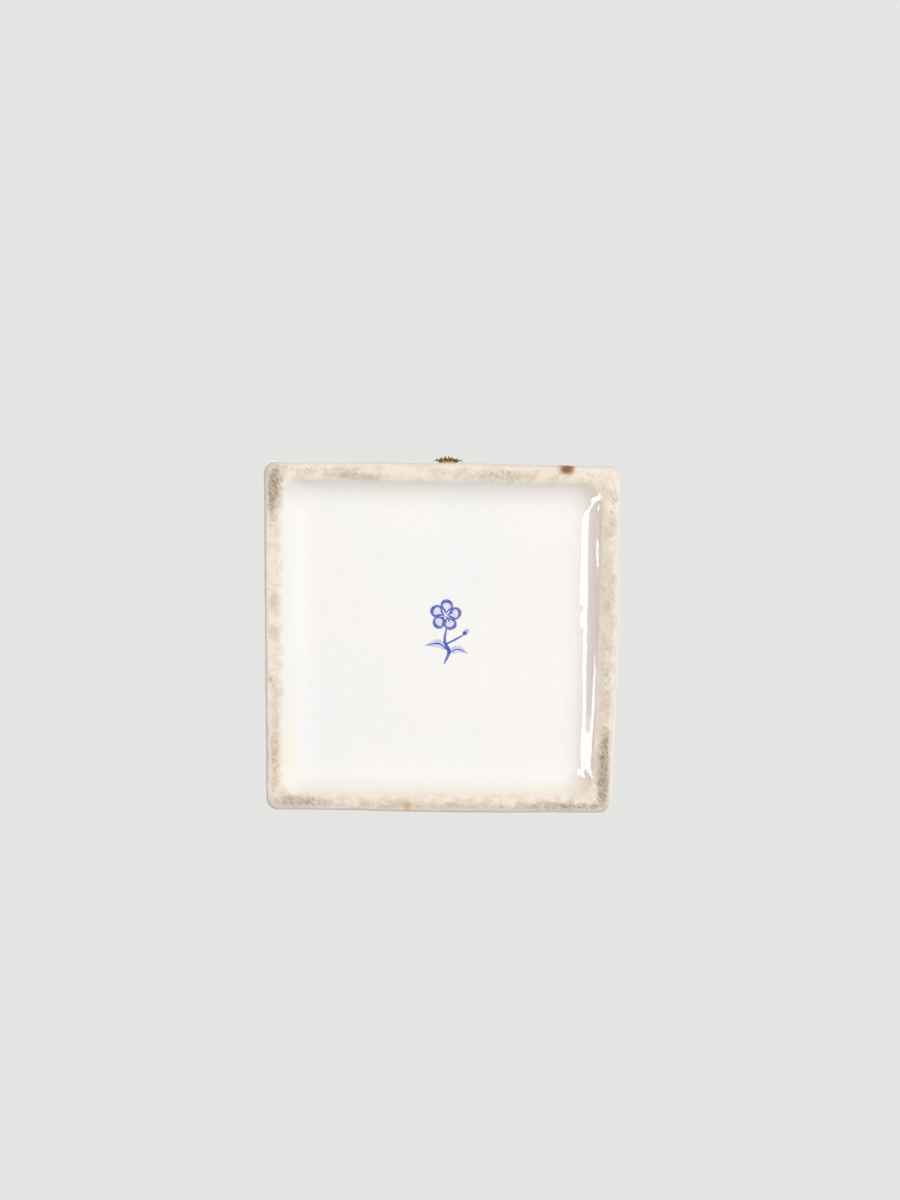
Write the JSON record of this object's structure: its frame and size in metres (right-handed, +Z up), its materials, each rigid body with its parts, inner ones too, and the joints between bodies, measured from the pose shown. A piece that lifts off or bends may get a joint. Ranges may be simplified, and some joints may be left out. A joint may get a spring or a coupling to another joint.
{
  "type": "seal paste box",
  "caption": "Square porcelain box on a foot ring, with brass collars, a hinged low-crowned lid, a shell clasp and a cushion of red seal paste inside.",
  "frame": {"origin": "centre of the foot ring, on the plane that the box stands on", "axes": "+Z up, -Y towards the clasp, +Y towards the hinge, X along the hinge"},
  "size_m": [0.0822, 0.0874, 0.0421],
  "materials": {
    "porcelain": "glossy clear glaze, bare on the foot ring",
    "gilt_brass": "worn gilding",
    "pin_brass": "rubbed brass",
    "plaster": "matt plaster bed",
    "seal_paste": "oily, fibrous red paste"
  },
  "bodies": {
    "base": {"porcelain_base": "porcelain", "base_collar": "gilt_brass", "base_cement": "plaster", "base_beading": "gilt_brass", "locating_lip": "gilt_brass", "base_hinge_leaf": "gilt_brass", "hinge_pin": "pin_brass", "catch_plate": "gilt_brass", "catch_stud": "pin_brass", "seal_paste": "seal_paste"},
    "lid": {"porcelain_lid": "porcelain", "lid_collar": "gilt_brass", "lid_cement": "plaster", "lid_beading": "gilt_brass", "lid_hinge_leaf": "gilt_brass", "clasp_tongue": "gilt_brass", "clasp_rivets": "pin_brass", "clasp_shell": "gilt_brass"}
  },
  "joints": [
    {"name": "lid_hinge", "type": "hinge", "parent": "base", "child": "lid", "pos_m": [0, 0.04235, 0.02678], "axis": [-1, 0, 0], "range_deg": [0, 100]}
  ]
}
